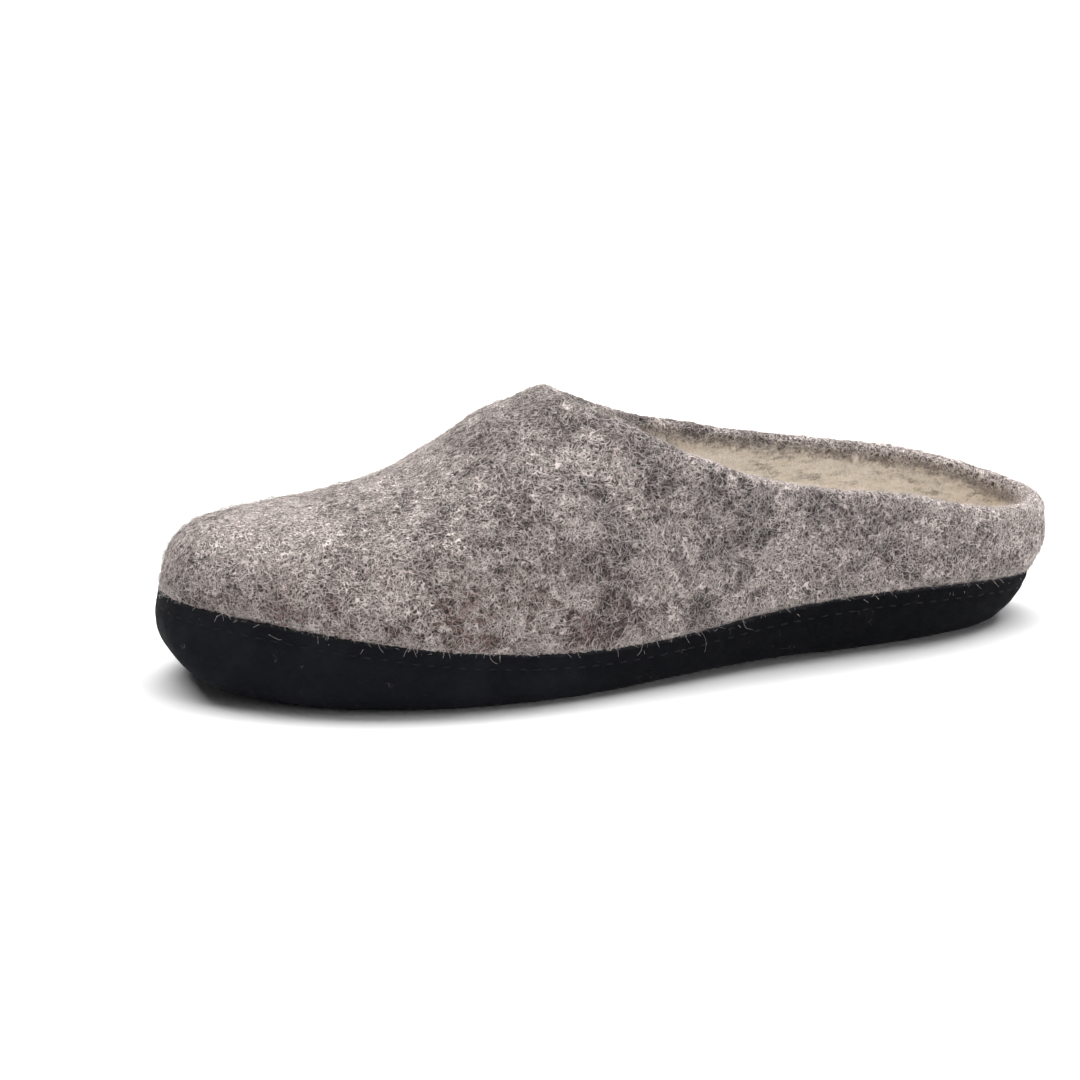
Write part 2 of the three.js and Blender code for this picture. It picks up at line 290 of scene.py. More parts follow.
@dataclass(frozen=True)
class FeltFinish:
    """Wet-felted wool of mixed fleece outside, and smooth undyed wool inside."""

    painted_shade: str = "1c1716"
    shade: str = "2a2220"
    middle: str = "5c514d"
    hair_dark: tuple[str, ...] = ("4e4340", "988a85", "e0d2cd")
    hair_pale: tuple[str, ...] = ("8d807b", "d6c8c3", "ece0db")
    hair_shade: float = 0.8
    grey: str = "bdbcbd"
    russet_and_shade: str = "a8918c"
    border: str = "a09590"
    lining_dark: str = "d3c8bb"
    lining_pale: str = "fcf2e8"
    lining_hair: str = "fffaf4"
    lining_stray: str = "877c74"
    curl_sizes: tuple[float, ...] = (1.0 * MM, 1.8 * MM, 3.3 * MM)
    curl_widths: tuple[float, ...] = (0.08, 0.043, 0.022)
    gap_size: float = 1.0 * MM
    tuft_size: float = 2.8 * MM
    patch_size: float = 13 * MM
    broad_size: float = 45 * MM
    blotch_size: float = 12 * MM
    streak_size: float = 8 * MM
    tone_shares: tuple[float, ...] = (0.34, 0.36, 0.3)
    heel_painted_light: float = 0.14
    border_share: float = 0.6
    relief: float = 0.5 * MM

    def material(self, effects: Effects) -> bpy.types.Material:
        """Makes the material.

        Args:
            effects: The shared node groups.

        Returns:
            The material, which reads the point attribute lining.
        """
        made, graph, place = new_material("wool_felt")
        mottle = partial(effects.mottled, graph, place)
        tuft, patch = mottle(self.tuft_size, 2.0), mottle(self.patch_size, 5.0)
        broad, gaps = mottle(self.broad_size, 11.0), mottle(self.gap_size, 15.0)
        blotch = mottle(self.blotch_size, 71.0)
        curls = [
            effects.curled(graph, place, size, width, seed)
            for size, width, seed in zip(self.curl_sizes, self.curl_widths, (1.0, 9.0, 17.0))
        ]

        outside, hairs = self.outside(graph, place, (tuft, patch, broad, gaps, blotch), curls)
        inside = self.inside(graph, effects, place, curls[1].outputs["Hairs"])
        lining = graph.add("ShaderNodeAttribute", attribute_name="lining").outputs["Fac"]
        # The two wools grow into each other along a ragged border
        swing = graph.math("ADD", tuft.outputs["Value"], gaps.outputs["Value"])
        swing = graph.math("MULTIPLY", graph.math("SUBTRACT", swing, 1.0), 0.5)
        inner = graph.math("MULTIPLY", lining, graph.math("SUBTRACT", 1.0, lining))
        border = graph.math("MULTIPLY", inner, 4.0)
        ragged = graph.math("ADD", lining, graph.math("MULTIPLY", swing, border))
        # Where the wools meet, the outer wool is mixed towards a paler, plainer tone: partly the rim's own
        # pale band, partly painted light on the rim's shaded inner roll
        outside = graph.mix(graph.math("MULTIPLY", border, self.border_share), outside, tint(self.border))
        share = graph.remap(ragged, 0.0, 0.85)

        quiet = graph.math("SUBTRACT", 1.0, graph.math("MULTIPLY", share, 0.75))
        height = graph.math("SUBTRACT", graph.math("MULTIPLY", hairs, 0.6), gaps.outputs["Value"])
        height = graph.math("MULTIPLY", graph.math("ADD", height, tuft.outputs["Value"]), quiet)
        bump = graph.add("ShaderNodeBump", {"Strength": 0.9, "Distance": self.relief, "Height": height})
        graph.surface(
            {
                "Base Color": graph.mix(share, outside, inside),
                "Roughness": 1.0,
                "Specular IOR Level": 0.08,
                "Sheen Weight": 0.12,
                "Sheen Roughness": 0.7,
                "Normal": bump.outputs[0],
            }
        )
        return made

    def outside(
        self, graph: Graph, place: Socket, mottles: tuple[bpy.types.Node, ...], curls: list[bpy.types.Node]
    ) -> tuple[Socket, Socket]:
        """Makes the outer wool's colour.

        Args:
            graph: The material's graph.
            place: The socket with the place on the piece.
            mottles: The nodes of tufts, patches, broad clouds, gaps and blotches.
            curls: The beds of hairs, the lowest first.

        Returns:
            The sockets of the colour and of the mask of all its hairs.
        """
        *clouds, gap, spot = (node.outputs["Value"] for node in mottles)
        axes = graph.add("ShaderNodeSeparateXYZ", {0: place}).outputs
        # Painted light: the wool is made paler towards the heel
        tone = graph.remap(axes["Y"], -0.04, -0.13, 0.0, self.heel_painted_light)
        for cloud, weight in zip(clouds, self.tone_shares):
            tone = graph.math("ADD", tone, graph.math("MULTIPLY", cloud, weight))
        tone = graph.remap(tone, 0.2, 0.8)
        dark = graph.math("SUBTRACT", 1.0, tone)
        colour = graph.mix(tone, tint(self.shade), tint(self.middle))
        # Painted shade in the gaps between the hairs, more and darker where the wool is dark
        gap_shade = graph.math("ADD", gap, graph.math("MULTIPLY", dark, 0.4))
        colour = graph.mix(graph.remap(gap_shade, 0.45, 0.85), colour, tint(self.painted_shade))
        cover = 0.0
        for bed, first, second in zip(curls, self.hair_dark, self.hair_pale):
            hair, shade = bed.outputs["Hairs"], bed.outputs["Shade"]
            # Painted shadow beside each hair, on the wool below it
            colour = graph.mix(graph.math("MULTIPLY", shade, self.hair_shade), colour, tint(self.painted_shade))
            hair = graph.math("MULTIPLY", hair, graph.remap(tone, 0.0, 0.7, 0.55, 0.95))
            colour = graph.mix(hair, colour, graph.mix(tone, tint(first), tint(second)))
            cover = graph.math("MAXIMUM", graph.math("MULTIPLY", cover, 0.6), hair)
        # Grey fleece at the instep tints the hairs too. Low on the toe above the sole, russet fleece and
        # painted shade darken them
        spot = graph.remap(graph.math("ADD", spot, graph.math("MULTIPLY", dark, 0.5)), 0.5, 0.95)
        low = graph.math("MULTIPLY", graph.remap(axes["Z"], 0.05, 0.022), graph.remap(axes["Y"], -0.03, 0.03))
        back = graph.math("MULTIPLY", graph.remap(axes["Y"], 0.06, 0.0), graph.remap(axes["Y"], -0.1, -0.05))
        russet_and_low_shade = graph.math("MULTIPLY", low, graph.remap(spot, 0.0, 1.0, 0.15, 1.0))
        colour = graph.mix(russet_and_low_shade, colour, tint(self.russet_and_shade), "MULTIPLY")
        colour = graph.mix(graph.math("MULTIPLY", spot, back), colour, tint(self.grey), "MULTIPLY")
        return colour, cover

    def inside(self, graph: Graph, effects: Effects, place: Socket, fine: Socket) -> Socket:
        """Makes the lining wool's colour, streaked along the foot.

        Args:
            graph: The material's graph.
            effects: The shared node groups.
            place: The socket with the place on the piece.
            fine: The mask of the lining's fine hairs.

        Returns:
            The colour's socket.
        """
        drawn = graph.add("ShaderNodeMapping", {"Vector": place, "Scale": (1.0, 0.25, 1.0)}).outputs[0]
        fleece = effects.mottled(graph, drawn, self.streak_size, 21.0).outputs
        axes = graph.add("ShaderNodeSeparateXYZ", {0: place}).outputs
        wool = graph.mix(fleece["Value"], tint(self.lining_dark), tint(self.lining_pale))
        # Painted light: the lining is made paler towards the heel
        heel_light = graph.remap(axes["Y"], -0.02, -0.11, 0.15, 0.75)
        wool = graph.mix(heel_light, wool, tint(self.lining_pale))
        wool = graph.mix(graph.math("MULTIPLY", fleece["Fine"], 0.6), wool, tint(self.lining_dark))
        # Grey fleece is mixed in here and there
        stray = effects.mottled(graph, drawn, 7 * MM, 27.0).outputs
        mixed = graph.math("MULTIPLY", stray["Value"], stray["Fine"])
        wool = graph.mix(graph.remap(mixed, 0.15, 0.8, 0.0, 0.75), wool, tint(self.lining_stray))
        return graph.mix(graph.math("MULTIPLY", fine, 0.5), wool, tint(self.lining_hair))


@dataclass(frozen=True)
class SuedeFinish:
    """Black suede with a short nap, greyer where it is rubbed and on its cut edge, and painted lighter at the
    toe.
    """

    body: str = "050609"
    nap: str = "0c0d11"
    rubbed_and_lit: str = "1b1c21"
    cut: str = "333336"
    lint: str = "5d5957"

    def material(self, effects: Effects) -> bpy.types.Material:
        """Makes the material.

        Args:
            effects: The shared node groups.

        Returns:
            The material, which reads the point attribute cut_edge.
        """
        made, graph, place = new_material("black_suede")
        mottle = partial(effects.mottled, graph, place)
        grain, brushed = mottle(3.0 * MM, 31.0), mottle(26 * MM, 37.0)
        lint = effects.curled(graph, place, 7 * MM, 0.006, 41.0)

        colour = graph.mix(grain.outputs["Fine"], tint(self.body), tint(self.nap))
        rub_and_light = graph.remap(brushed.outputs["Value"], 0.45, 1.0, 0.0, 0.4)
        # Painted light: the suede is made greyer towards the toe
        axes = graph.add("ShaderNodeSeparateXYZ", {0: place}).outputs
        rub_and_light = graph.math("ADD", rub_and_light, graph.remap(axes["Y"], -0.06, 0.13, 0.0, 0.6), clamp=True)
        colour = graph.mix(rub_and_light, colour, tint(self.rubbed_and_lit))
        sparse = graph.remap(brushed.outputs["Fine"], 0.9, 1.0, 0.0, 0.5)
        colour = graph.mix(graph.math("MULTIPLY", lint.outputs["Hairs"], sparse), colour, tint(self.lint))
        edge = graph.add("ShaderNodeAttribute", attribute_name="cut_edge").outputs["Fac"]
        colour = graph.mix(graph.math("MULTIPLY", edge, 0.75), colour, tint(self.cut))

        height = graph.math("ADD", grain.outputs["Fine"], graph.math("MULTIPLY", grain.outputs["Value"], 0.7))
        bump = graph.add("ShaderNodeBump", {"Strength": 0.5, "Distance": 0.18 * MM, "Height": height})
        rough = graph.remap(grain.outputs["Value"], 0.0, 1.0, 0.86, 0.98)
        graph.surface(
            {
                "Base Color": colour,
                "Roughness": rough,
                "Specular IOR Level": 0.1,
                "Sheen Weight": 0.01,
                "Sheen Roughness": 0.5,
                "Normal": bump.outputs[0],
            }
        )
        return made


@dataclass(frozen=True)
class InsoleFinish:
    """Needled undyed wool: flat, soft and finely pitted."""

    dark: str = "a3977f"
    pale: str = "cfc5b0"
    hair: str = "e2dac9"
    pit_shade: str = "7d725e"
    pit_pitch: float = 1.8 * MM

    def material(self, effects: Effects) -> bpy.types.Material:
        """Makes the material.

        Args:
            effects: The shared node groups.

        Returns:
            The material.
        """
        made, graph, place = new_material("needled_wool")
        cloud = effects.mottled(graph, place, 12 * MM, 51.0)
        fine = effects.curled(graph, place, 1.6 * MM, 0.05, 53.0).outputs["Hairs"]
        colour = graph.mix(cloud.outputs["Value"], tint(self.dark), tint(self.pale))
        colour = graph.mix(graph.math("MULTIPLY", fine, 0.3), colour, tint(self.hair))
        cells = {"Vector": place, "Scale": 1 / self.pit_pitch, "Randomness": 0.8}
        pit = graph.remap(graph.add("ShaderNodeTexVoronoi", cells).outputs["Distance"], 0.0, 0.35)
        # Painted shade in the needle pits
        colour = graph.mix(graph.math("SUBTRACT", 1.0, pit), colour, tint(self.pit_shade))
        height = graph.math("ADD", pit, graph.math("MULTIPLY", fine, 0.5))
        bump = graph.add("ShaderNodeBump", {"Strength": 0.6, "Distance": 0.3 * MM, "Height": height})
        graph.surface(
            {
                "Base Color": colour,
                "Roughness": 1.0,
                "Specular IOR Level": 0.1,
                "Sheen Weight": 0.2,
                "Normal": bump.outputs[0],
            }
        )
        return made


@dataclass(frozen=True)
class HairFinish:
    """One sort of wool hair or thread, a little uneven in colour along the slipper."""

    name: str
    first: str
    second: str
    sheen: float = 0.2

    def material(self, effects: Effects) -> bpy.types.Material:
        """Makes the material.

        Args:
            effects: The shared node groups.

        Returns:
            The material.
        """
        made, graph, place = new_material(self.name)
        cloud = effects.mottled(graph, place, 9 * MM, 61.0)
        graph.surface(
            {
                "Base Color": graph.mix(cloud.outputs["Fine"], tint(self.first), tint(self.second)),
                "Roughness": 0.8,
                "Specular IOR Level": 0.25,
                "Sheen Weight": self.sheen,
            }
        )
        return made


# Meshes


def add_object(name: str, mesh: bpy.types.Mesh) -> bpy.types.Object:
    """Puts a mesh into the scene as an object at the origin.

    Args:
        name: The object's name.
        mesh: The mesh.

    Returns:
        The object.
    """
    made = bpy.data.objects.new(name, mesh)
    bpy.context.scene.collection.objects.link(made)
    return made


def baked(source: bpy.types.Object) -> bpy.types.Mesh:
    """Gives an object's mesh with its modifiers applied."""
    graph = bpy.context.evaluated_depsgraph_get()
    return bpy.data.meshes.new_from_object(source.evaluated_get(graph))


def fine_copy(node: str, name: str, voxel: float) -> bpy.types.Object:
    """Copies a solid of the frame as an even, fine mesh.

    Args:
        node: The frame's node.
        name: The new object's name.
        voxel: The mesh's grain, in metres.

    Returns:
        The new object, at the origin.
    """
    mesh = bpy.data.meshes.new(name)
    shape = bmesh.new()
    shape.from_mesh(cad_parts[node].data)
    shape.transform(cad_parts[node].matrix_world)
    bmesh.ops.remove_doubles(shape, verts=shape.verts, dist=0.001 * MM)
    shape.to_mesh(mesh)
    shape.free()
    made = add_object(name, mesh)
    remesh = made.modifiers.new("even", "REMESH")
    remesh.mode = "VOXEL"
    remesh.voxel_size = voxel
    made.data = baked(made)
    made.modifiers.clear()
    made.data.name = name
    return made


def places_of(mesh: bpy.types.Mesh) -> Points:
    """Gives the mesh's vertices.

    Args:
        mesh: The mesh.

    Returns:
        Rows of x, y, z.
    """
    flat = np.empty(len(mesh.vertices) * 3)
    mesh.vertices.foreach_get("co", flat)
    return flat.reshape(-1, 3)


def normals_of(mesh: bpy.types.Mesh) -> Points:
    """Gives the directions in which the mesh's vertices face.

    Args:
        mesh: The mesh.

    Returns:
        Rows of x, y, z.
    """
    flat = np.empty(len(mesh.vertices) * 3)
    mesh.vertex_normals.foreach_get("vector", flat)
    return flat.reshape(-1, 3)


def move_to(mesh: bpy.types.Mesh, places: Points) -> None:
    """Moves the mesh's vertices to rows of x, y, z."""
    mesh.vertices.foreach_set("co", places.ravel())
    mesh.update()


def smoothed(mesh: bpy.types.Mesh, rounds: int, keep: float = 0.5, give: float = -0.52) -> None:
    """Smooths a mesh without shrinking it, by steps in and out in turn.

    Args:
        mesh: The mesh, whose vertices are moved.
        rounds: How many pairs of steps.
        keep: Share of the way to the neighbours' middle in a step in.
        give: The same for a step out, below 0.
    """
    pairs = np.empty(len(mesh.edges) * 2, dtype=np.int64)
    mesh.edges.foreach_get("vertices", pairs)
    one, other = pairs.reshape(-1, 2).T
    places = places_of(mesh)
    count = np.bincount(np.concatenate([one, other]), minlength=len(places))[:, None]
    for _ in range(rounds):
        for share in (keep, give):
            middle = np.empty_like(places)
            for axis in range(3):
                middle[:, axis] = np.bincount(one, places[other, axis], len(places)) + np.bincount(
                    other, places[one, axis], len(places)
                )
            places += share * (middle / count - places)
    move_to(mesh, places)


def add_values(mesh: bpy.types.Mesh, name: str, values: Points) -> None:
    """Stores one number a vertex, for a material to read."""
    attribute = mesh.attributes.new(name, "FLOAT", "POINT")
    attribute.data.foreach_set("value", values.astype(np.float32))


def soft_step(values: Points, low: float, high: float) -> Points:
    """Gives 0 below low, 1 above high and a smooth rise between them."""
    share = np.clip((values - low) / (high - low), 0.0, 1.0)
    return share * share * (3 - 2 * share)


def cloud_of(places: Points, size: float, seed: float) -> Points:
    """Gives a smooth random number from -1 to 1 at each place.

    Args:
        places: Rows of x, y, z.
        size: Distance over which the number changes, in metres.
        seed: Shifts the pattern.

    Returns:
        One number a row.
    """
    shift = Vector((seed, 2.3 * seed, -1.7 * seed))
    return np.array([noise.noise(Vector(place) / size + shift) for place in places])


def surface_tree(*pieces: bpy.types.Object) -> BVHTree:
    """Gives a search tree over the surfaces of some meshes.

    Args:
        *pieces: The mesh objects.

    Returns:
        The tree.
    """
    places, faces, start = [], [], 0
    for piece in pieces:
        places.extend(vertex.co.copy() for vertex in piece.data.vertices)
        faces.extend([start + index for index in face.vertices] for face in piece.data.polygons)
        start = len(places)
    return BVHTree.FromPolygons(places, faces)


def gaps_to(points: list[Vector] | Points, places: Points) -> Points:
    """Gives how far each place is from the nearest of some points.

    Args:
        points: The points.
        places: Rows of x, y, z.

    Returns:
        One distance a row.
    """
    tree = KDTree(len(points))
    for row, point in enumerate(points):
        tree.insert(point, row)
    tree.balance()
    return np.array([tree.find(place)[2] for place in places])


def middle_stations(places: Points) -> Points:
    """Gives each place's nearest y on the foot's middle line, short of its round ends."""
    return np.clip(places[:, 1], CAD_BOX[0][1] + HEEL_ROUND, CAD_BOX[1][1] - TOE_ROUND)


@dataclass(frozen=True)
class Fold:
    """A soft trough (or ridge, below 0) pressed into a surface along a line.

    The line's points are shares of the slipper's own box: across, from -1 on the little-toe
    side to 1 on the big-toe side, along, from 0 at the heel to 1 at the toe, and up, from 0
    at the floor to 1 at the throat.
    """

    line: tuple[tuple[float, float, float], ...]
    depth: float
    width: float

    def press(self, places: Points) -> Points:
        """Gives how far each place is pressed in, in metres.

        Args:
            places: Rows of x, y, z.

        Returns:
            One number a row.
        """
        low, high = np.array(CAD_BOX[0]), np.array(CAD_BOX[1])
        size = (high - low) * (0.5, 1.0, 1.0)
        start = np.array(((low[0] + high[0]) / 2, low[1], 0.0))
        line = [start + np.array(point) * size for point in self.line]
        nearest = np.full(len(places), np.inf)
        for one, other in zip(line, line[1:]):
            along = other - one
            share = np.clip((places - one) @ along / (along @ along), 0.0, 1.0)
            gap = np.linalg.norm(places - one - share[:, None] * along, axis=1)
            nearest = np.minimum(nearest, gap)
        return self.depth * np.exp(-((nearest / self.width) ** 2))


# Sub-assemblies


@dataclass
class FeltBody:
    """The felted body: one wall of wool, closed under the foot and open at the collar."""

    grain: float = 1.45 * MM
    rounds: int = 16
    axis_height: float = 32 * MM
    lump: float = 0.35 * MM
    lump_size: float = 11 * MM
    swell: float = 0.5 * MM
    swell_size: float = 38 * MM
    rim_roll: float = 8.5 * MM
    folds: tuple[Fold, ...] = (
        # The saddle where the toe box meets the instep
        Fold(
            ((-0.62, 0.66, 0.42), (-0.3, 0.72, 0.66), (0.15, 0.74, 0.72), (0.55, 0.71, 0.55)),
            1.1 * MM,
            9 * MM,
        ),
        # The hollow of the outer flank below the throat
        Fold(((-0.7, 0.47, 0.62), (-0.78, 0.4, 0.42), (-0.74, 0.33, 0.34)), 1.2 * MM, 9 * MM),
        Fold(((0.68, 0.46, 0.6), (0.7, 0.38, 0.42)), 1.0 * MM, 9 * MM),
        # The felt swells over the sewn edge at the toe and the ball
        Fold(
            ((-0.96, 0.6, 0.27), (-0.93, 0.75, 0.33), (-0.72, 0.88, 0.42), (-0.3, 0.975, 0.46)),
            -0.9 * MM,
            6 * MM,
        ),
        Fold(((0.95, 0.7, 0.33), (0.85, 0.86, 0.4), (0.4, 0.97, 0.46)), -0.8 * MM, 6 * MM),
        # The toe's blunt front and the heel's full back
        Fold(((-0.5, 0.975, 0.52), (-0.1, 1.0, 0.5), (0.4, 0.985, 0.52)), -1.3 * MM, 9 * MM),
        Fold(((-0.4, 0.0, 0.44), (0.0, -0.01, 0.4), (0.35, 0.0, 0.44)), -1.2 * MM, 11 * MM),
        Fold(((-0.5, 0.02, 0.28), (0.0, -0.01, 0.27), (0.45, 0.02, 0.28)), -1.7 * MM, 7 * MM),
        # The heel's soft dent on the outer side
        Fold(((-0.62, 0.14, 0.4), (-0.66, 0.22, 0.36)), 0.7 * MM, 8 * MM),
    )
    piece: bpy.types.Object = field(init=False)

    def build(self) -> None:
        """Makes the mesh from the frame's solid and shapes it."""
        self.piece = fine_copy("upper", "felt_body", self.grain)
        mesh = self.piece.data
        smoothed(mesh, self.rounds)
        places, normals = places_of(mesh), normals_of(mesh)
        inside = self.inside(places, normals)
        press = sum(fold.press(places) for fold in self.folds)
        lumps = self.lump * cloud_of(places, self.lump_size, 3.0)
        swells = self.swell * cloud_of(places, self.swell_size, 8.0)
        shown = soft_step(places[:, 2], 14 * MM, 20 * MM)
        shift = lumps + swells - press * (1.0 - inside)
        move_to(mesh, places + normals * (shift * shown)[:, None])
        add_values(mesh, "lining", inside * self.below_rim(places, inside))
        mesh.shade_smooth()

    def inside(self, places: Points, normals: Points) -> Points:
        """Tells the wall's inner side from its outer side.

        Args:
            places: Rows of x, y, z.
            normals: The surface's directions there.

        Returns:
            1 on the inner side, 0 on the outer side and between them on the collar's edge.
        """
        axis = np.zeros_like(places)
        axis[:, 1] = middle_stations(places)
        axis[:, 2] = self.axis_height
        outward = places - axis
        outward[:, 2] *= np.where(outward[:, 2] > 0, 0.35, 1.0)
        outward /= np.linalg.norm(outward, axis=1, keepdims=True)
        return 1.0 - soft_step(np.einsum("ij,ij->i", outward, normals), -0.75, -0.05)

    def below_rim(self, places: Points, inside: Points) -> Points:
        """Tells the rolled rim, which is the outer wool, from the lining below it.

        Args:
            places: Rows of x, y, z.
            inside: 1 on the wall's inner side.

        Returns:
            0 on the rim and 1 deeper inside than its roll.
        """
        crest = (inside > 0.1) & (inside < 0.9) & (places[:, 2] > self.axis_height)
        return soft_step(gaps_to(places[crest], places), 1.0 * MM, self.rim_roll)

    def dress(self, finish: bpy.types.Material) -> None:
        """Gives the body its material and its place in the frame.

        Args:
            finish: The material.
        """
        self.piece.data.materials.append(finish)
        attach(self.piece, "root")
        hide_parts("upper")


@dataclass
class SuedeSole:
    """The suede cup under the foot, with its pressed margin and its cut edge."""

    grain: float = 1.15 * MM
    rounds: int = 22
    stitch_depth: float = 4 * MM
    channel: float = 0.28 * MM
    pucker: float = 0.22 * MM
    edge_height: float = 0.9 * MM
    folds: tuple[Fold, ...] = (
        # The toe's full underside
        Fold(((-0.35, 0.965, 0.13), (0.1, 0.985, 0.14), (0.5, 0.965, 0.13)), -1.6 * MM, 8 * MM),
        # The heel's edge stands off a little over the stitches
        Fold(
            ((-0.5, 0.045, 0.175), (-0.2, 0.01, 0.172), (0.2, 0.01, 0.172), (0.5, 0.045, 0.175)),
            -0.9 * MM,
            2 * MM,
        ),
    )
    directions: int = 900
    evened: int = 45
    kept: int = 3
    scan: tuple[float, float, float] = (34 * MM, 6 * MM, -0.2 * MM)
    half_size: tuple[float, float] = (55 * MM, 150 * MM)
    rows_at_once: int = 4000
    piece: bpy.types.Object = field(init=False)
    edge: list[Vector] = field(init=False)

    def build(self) -> None:
        """Makes the mesh from the frame's solid, presses the stitch line and marks its edge."""
        self.piece = fine_copy("sole", "suede_sole", self.grain)
        mesh = self.piece.data
        standing = places_of(mesh)[:, 2] < 0.12 * MM
        smoothed(mesh, self.rounds)
        places = places_of(mesh)
        found = np.array(self.top_edge())
        ring = found.copy()
        wide = np.concatenate([ring[-self.evened :], ring, ring[: self.evened]])
        window = np.hanning(2 * self.evened + 1)
        ring[:, 2] = np.convolve(wide[:, 2], window / window.sum(), "valid")
        gap, under, raised = (np.empty(len(places)) for _ in range(3))
        for start in range(0, len(places), self.rows_at_once):
            part = slice(start, start + self.rows_at_once)
            spans = np.linalg.norm(places[part, None, :2] - ring[None, :, :2], axis=2)
            near = spans.argmin(axis=1)
            gap[part] = spans[np.arange(len(near)), near]
            raised[part] = ring[near, 2] - found[near, 2]
            under[part] = found[near, 2] - places[part, 2]
        # The grain's steps along the top edge are evened out
        places[:, 2] += raised * np.exp(-((np.maximum(under, 0) / (2.5 * MM)) ** 2)) * (gap < 5 * MM)
        move_to(mesh, places)
        self.edge = [Vector(point) for point in ring[:: self.kept]]
        normals = normals_of(mesh)
        outer = soft_step(normals[:, 2] * -0.2 + self.outwardness(places, normals), 0.1, 0.5)
        trough = self.channel * np.exp(-(((under - self.stitch_depth) / (1.1 * MM)) ** 2))
        ripple = self.pucker * cloud_of(places, 5 * MM, 14.0) * np.exp(-((under / (7 * MM)) ** 2))
        press = trough + sum(fold.press(places) for fold in self.folds)
        moved = places + normals * ((ripple - press) * outer)[:, None]
        moved[standing, 2] = np.where(places[standing, 2] < 0.4 * MM, 0.0, moved[standing, 2])
        moved[:, 2] = np.maximum(moved[:, 2], 0.0)
        move_to(mesh, moved)
        cut = (1.0 - soft_step(under, 0.25 * MM, self.edge_height)) * soft_step(normals[:, 2], 0.25, 0.7)
        add_values(mesh, "cut_edge", cut)
        mesh.shade_smooth()

    def outwardness(self, places: Points, normals: Points) -> Points:
        """Gives how far each normal points away from the sole's middle line.

        Args:
            places: Rows of x, y, z.
            normals: The surface's directions there.

        Returns:
            From -1, inward, to 1, outward.
        """
        away = places.copy()
        away[:, 1] -= middle_stations(places)
        away[:, 2] = 0.0
        away /= np.linalg.norm(away, axis=1, keepdims=True) + 1e-9
        return np.einsum("ij,ij->i", away, normals)

    def top_edge(self) -> list[Vector]:
        """Finds the highest points of the cup all round, on its outer side.

        Returns:
            One point for each direction, in order round the slipper.
        """
        tree = surface_tree(self.piece)
        found = []
        for step in range(self.directions):
            turn = 2 * math.pi * step / self.directions
            way = Vector((math.cos(turn) * self.half_size[0], math.sin(turn) * self.half_size[1], 0.0))
            for height in np.arange(*self.scan):
                start = Vector((0, 0, height)) + way * 1.4
                hit = tree.ray_cast(start, -way.normalized(), way.length)
                if hit[0] is not None:
                    found.append(hit[0])
                    break
        return found

    def dress(self, finish: bpy.types.Material) -> None:
        """Gives the sole its material and its place in the frame.

        Args:
            finish: The material.
        """
        self.piece.data.materials.append(finish)
        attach(self.piece, "root")
        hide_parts("sole")


@dataclass
class StitchRow:
    """The sewing thread that holds the suede to the felt, one stitch after another."""

    pitch: float = 4.5 * MM
    length: float = 3.3 * MM
    thickness: float = 0.55 * MM
    slant: float = 0.12
    rounding: tuple[float, float] = (-100 * MM, 90 * MM)
    piece: bpy.types.Object = field(init=False)

    def build(self, sole: SuedeSole) -> None:
        """Lays the stitches along the channel.

        Args:
            sole: The finished sole.
        """
        tree = surface_tree(sole.piece)
        line = []
        for point in sole.edge:
            target = point - Vector((0, 0, sole.stitch_depth))
            station = min(max(point.y, self.rounding[0]), self.rounding[1])
            away = Vector((point.x, point.y - station, 0)).normalized()
            hit = tree.ray_cast(target + away * 0.02, -away, 0.04)
            if hit[0] is not None:
                line.append((hit[0], hit[1]))
        gaps = [(line[(i + 1) % len(line)][0] - line[i][0]).length for i in range(len(line))]
        reach = np.concatenate([[0.0], np.cumsum(gaps)])
        count = round(reach[-1] / self.pitch)
        shape = bmesh.new()
        for stitch in range(count):
            middle = (stitch + 0.5) * reach[-1] / count
            i = int(np.searchsorted(reach, middle)) - 1
            share = (middle - reach[i]) / gaps[i]
            (one, up), (other, _) = line[i], line[(i + 1) % len(line)]
            along = (other - one).normalized()
            side = along.cross(up).normalized()
            made = bmesh.ops.create_uvsphere(shape, u_segments=8, v_segments=6, radius=0.5)["verts"]
            slant = self.slant * math.sin(2.1 * stitch)
            for vertex in made:
                x, y, z = vertex.co
                # A stitch's ends dip into the leather
                dip = self.thickness * 0.9 * (2 * z) ** 4
                vertex.co = (
                    one.lerp(other, share)
                    + (along + side * slant) * (z * self.length)
                    + side * (x * self.thickness)
                    + up * (y * self.thickness - dip)
                )
        bmesh.ops.recalc_face_normals(shape, faces=shape.faces)
        mesh = bpy.data.meshes.new("sole_stitches")
        shape.to_mesh(mesh)
        shape.free()
        mesh.shade_smooth()
        self.piece = add_object("sole_stitches", mesh)

    def dress(self, finish: bpy.types.Material) -> None:
        """Gives the stitches their material and their place in the frame.

        Args:
            finish: The material.
        """
        self.piece.data.materials.append(finish)
        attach(self.piece, "root")


